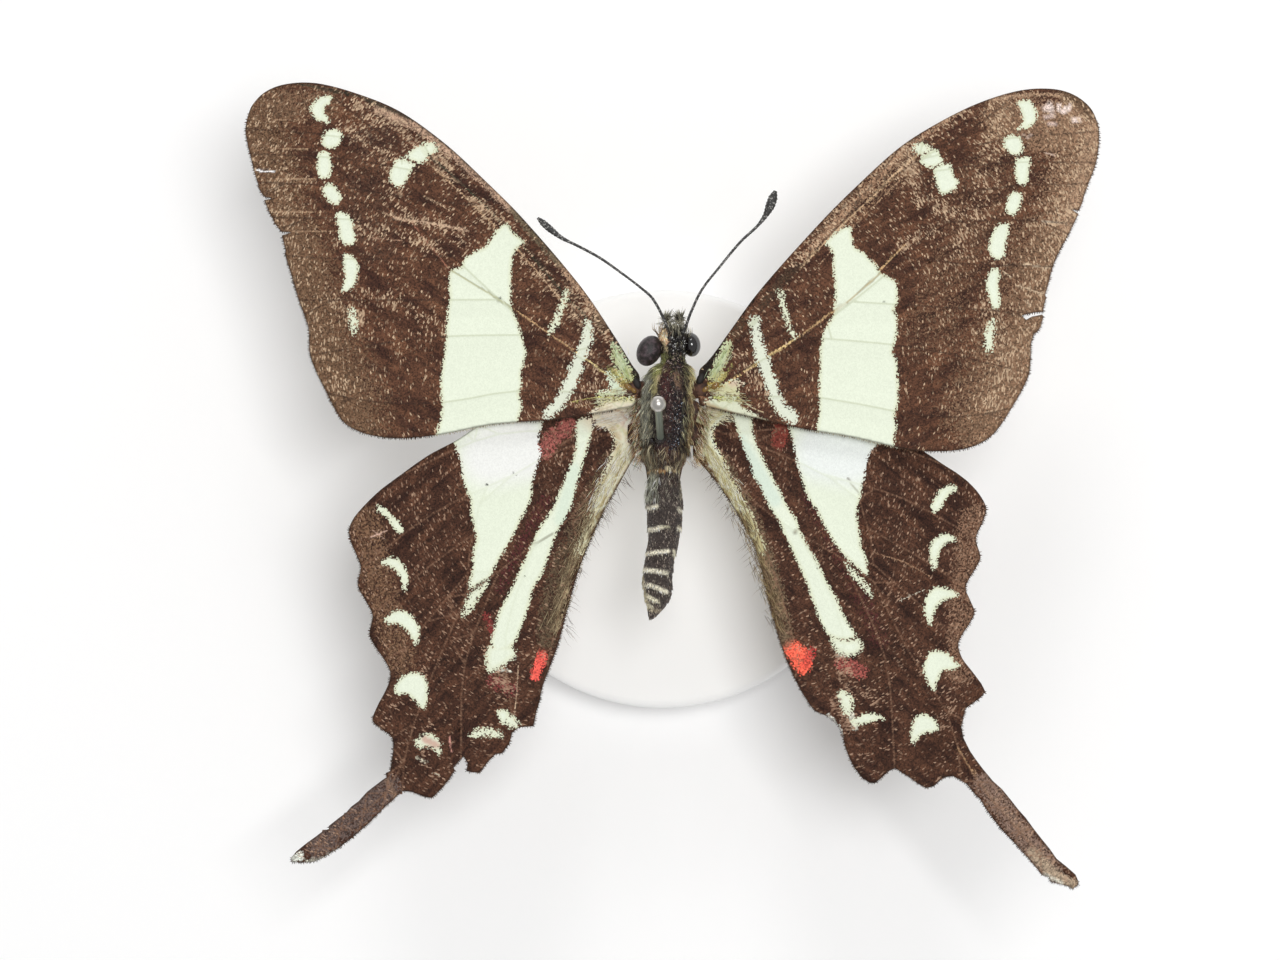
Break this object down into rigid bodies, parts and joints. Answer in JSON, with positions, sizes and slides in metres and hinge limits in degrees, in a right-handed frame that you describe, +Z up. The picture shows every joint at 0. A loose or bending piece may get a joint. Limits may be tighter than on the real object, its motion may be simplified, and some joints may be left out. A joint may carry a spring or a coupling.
{
  "type": "pinned swallowtail butterfly",
  "caption": "Spread kite swallowtail butterfly with banded wings and long tails, held by its own pin in a plain round display stand.",
  "frame": {"origin": "middle of the underside of the stand's round base", "axes": "+Z up, +Y towards the head, +X towards the tips of the right wings"},
  "size_m": [0.0577, 0.0553, 0.0328],
  "materials": {
    "body_scales": "dark brown scales and hair",
    "leg_brown": "dry brown cuticle",
    "eye_black": "glossy black compound eye",
    "antenna_black": "dull black cuticle",
    "wing_scales": "powdery brown scales with pale green bands",
    "pin_steel": "bright insect pin",
    "stand_white": "satin white"
  },
  "bodies": {
    "root": {"thorax": "body_scales", "abdomen": "body_scales", "head": "body_scales", "palp_left": "body_scales", "palp_right": "body_scales", "eye_left": "eye_black", "eye_right": "eye_black", "proboscis": "leg_brown", "antenna_left": "antenna_black", "antenna_right": "antenna_black", "forewing_left": "wing_scales", "forewing_right": "wing_scales", "hindwing_left": "wing_scales", "hindwing_right": "wing_scales", "leg_fore_left": "leg_brown", "leg_fore_right": "leg_brown", "leg_mid_left": "leg_brown", "leg_mid_right": "leg_brown", "leg_hind_left": "leg_brown", "leg_hind_right": "leg_brown", "stand_pin": "pin_steel", "stand_base": "stand_white"}
  },
  "joints": []
}
